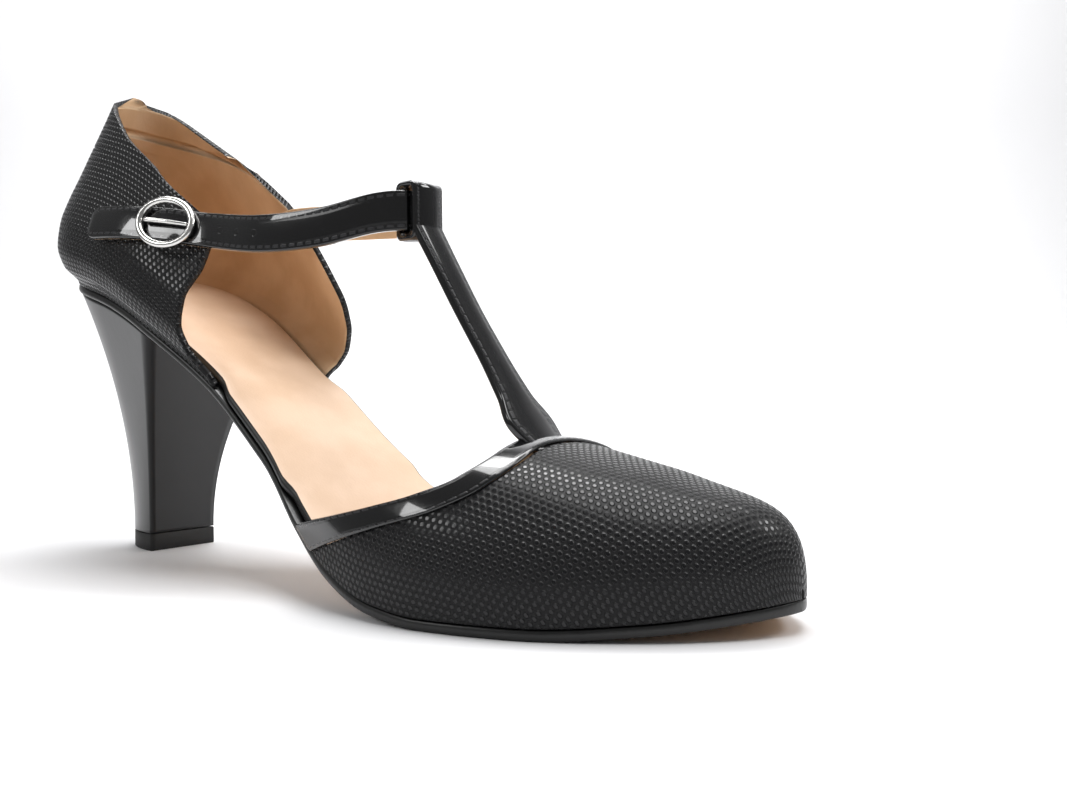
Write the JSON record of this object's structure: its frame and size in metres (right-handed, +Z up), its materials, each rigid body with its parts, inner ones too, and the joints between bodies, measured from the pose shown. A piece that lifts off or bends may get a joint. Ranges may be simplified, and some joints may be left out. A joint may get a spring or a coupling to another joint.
{
  "type": "t-bar court shoe",
  "caption": "Ballroom dance shoe for a right foot, with a T-bar, ankle strap, round buckle, open sides and a tapered block heel.",
  "frame": {"origin": "under the middle of the shoe's box, on the floor", "axes": "+X from heel to toe, +Y to the inner side of the right foot, +Z up"},
  "size_m": [0.2306, 0.0718, 0.138],
  "materials": {
    "outsole": "tan leather underside with a black painted edge",
    "insole": "pale tan leather with a black wrapped edge",
    "heel": "black satin lacquer",
    "top_lift": "black rubber",
    "textured_leather": "black leather with small glossy raised dots",
    "patent": "black patent leather, stitched",
    "buckle": "polished nickel"
  },
  "bodies": {
    "root": {"outsole": "outsole", "insole": "insole", "heel": "heel", "top_lift": "top_lift", "vamp": "textured_leather", "quarter": "textured_leather", "throat_trim_and_t_bar": "patent", "ankle_strap": "patent", "buckle_ring": "buckle", "buckle_prong": "buckle"}
  },
  "joints": []
}
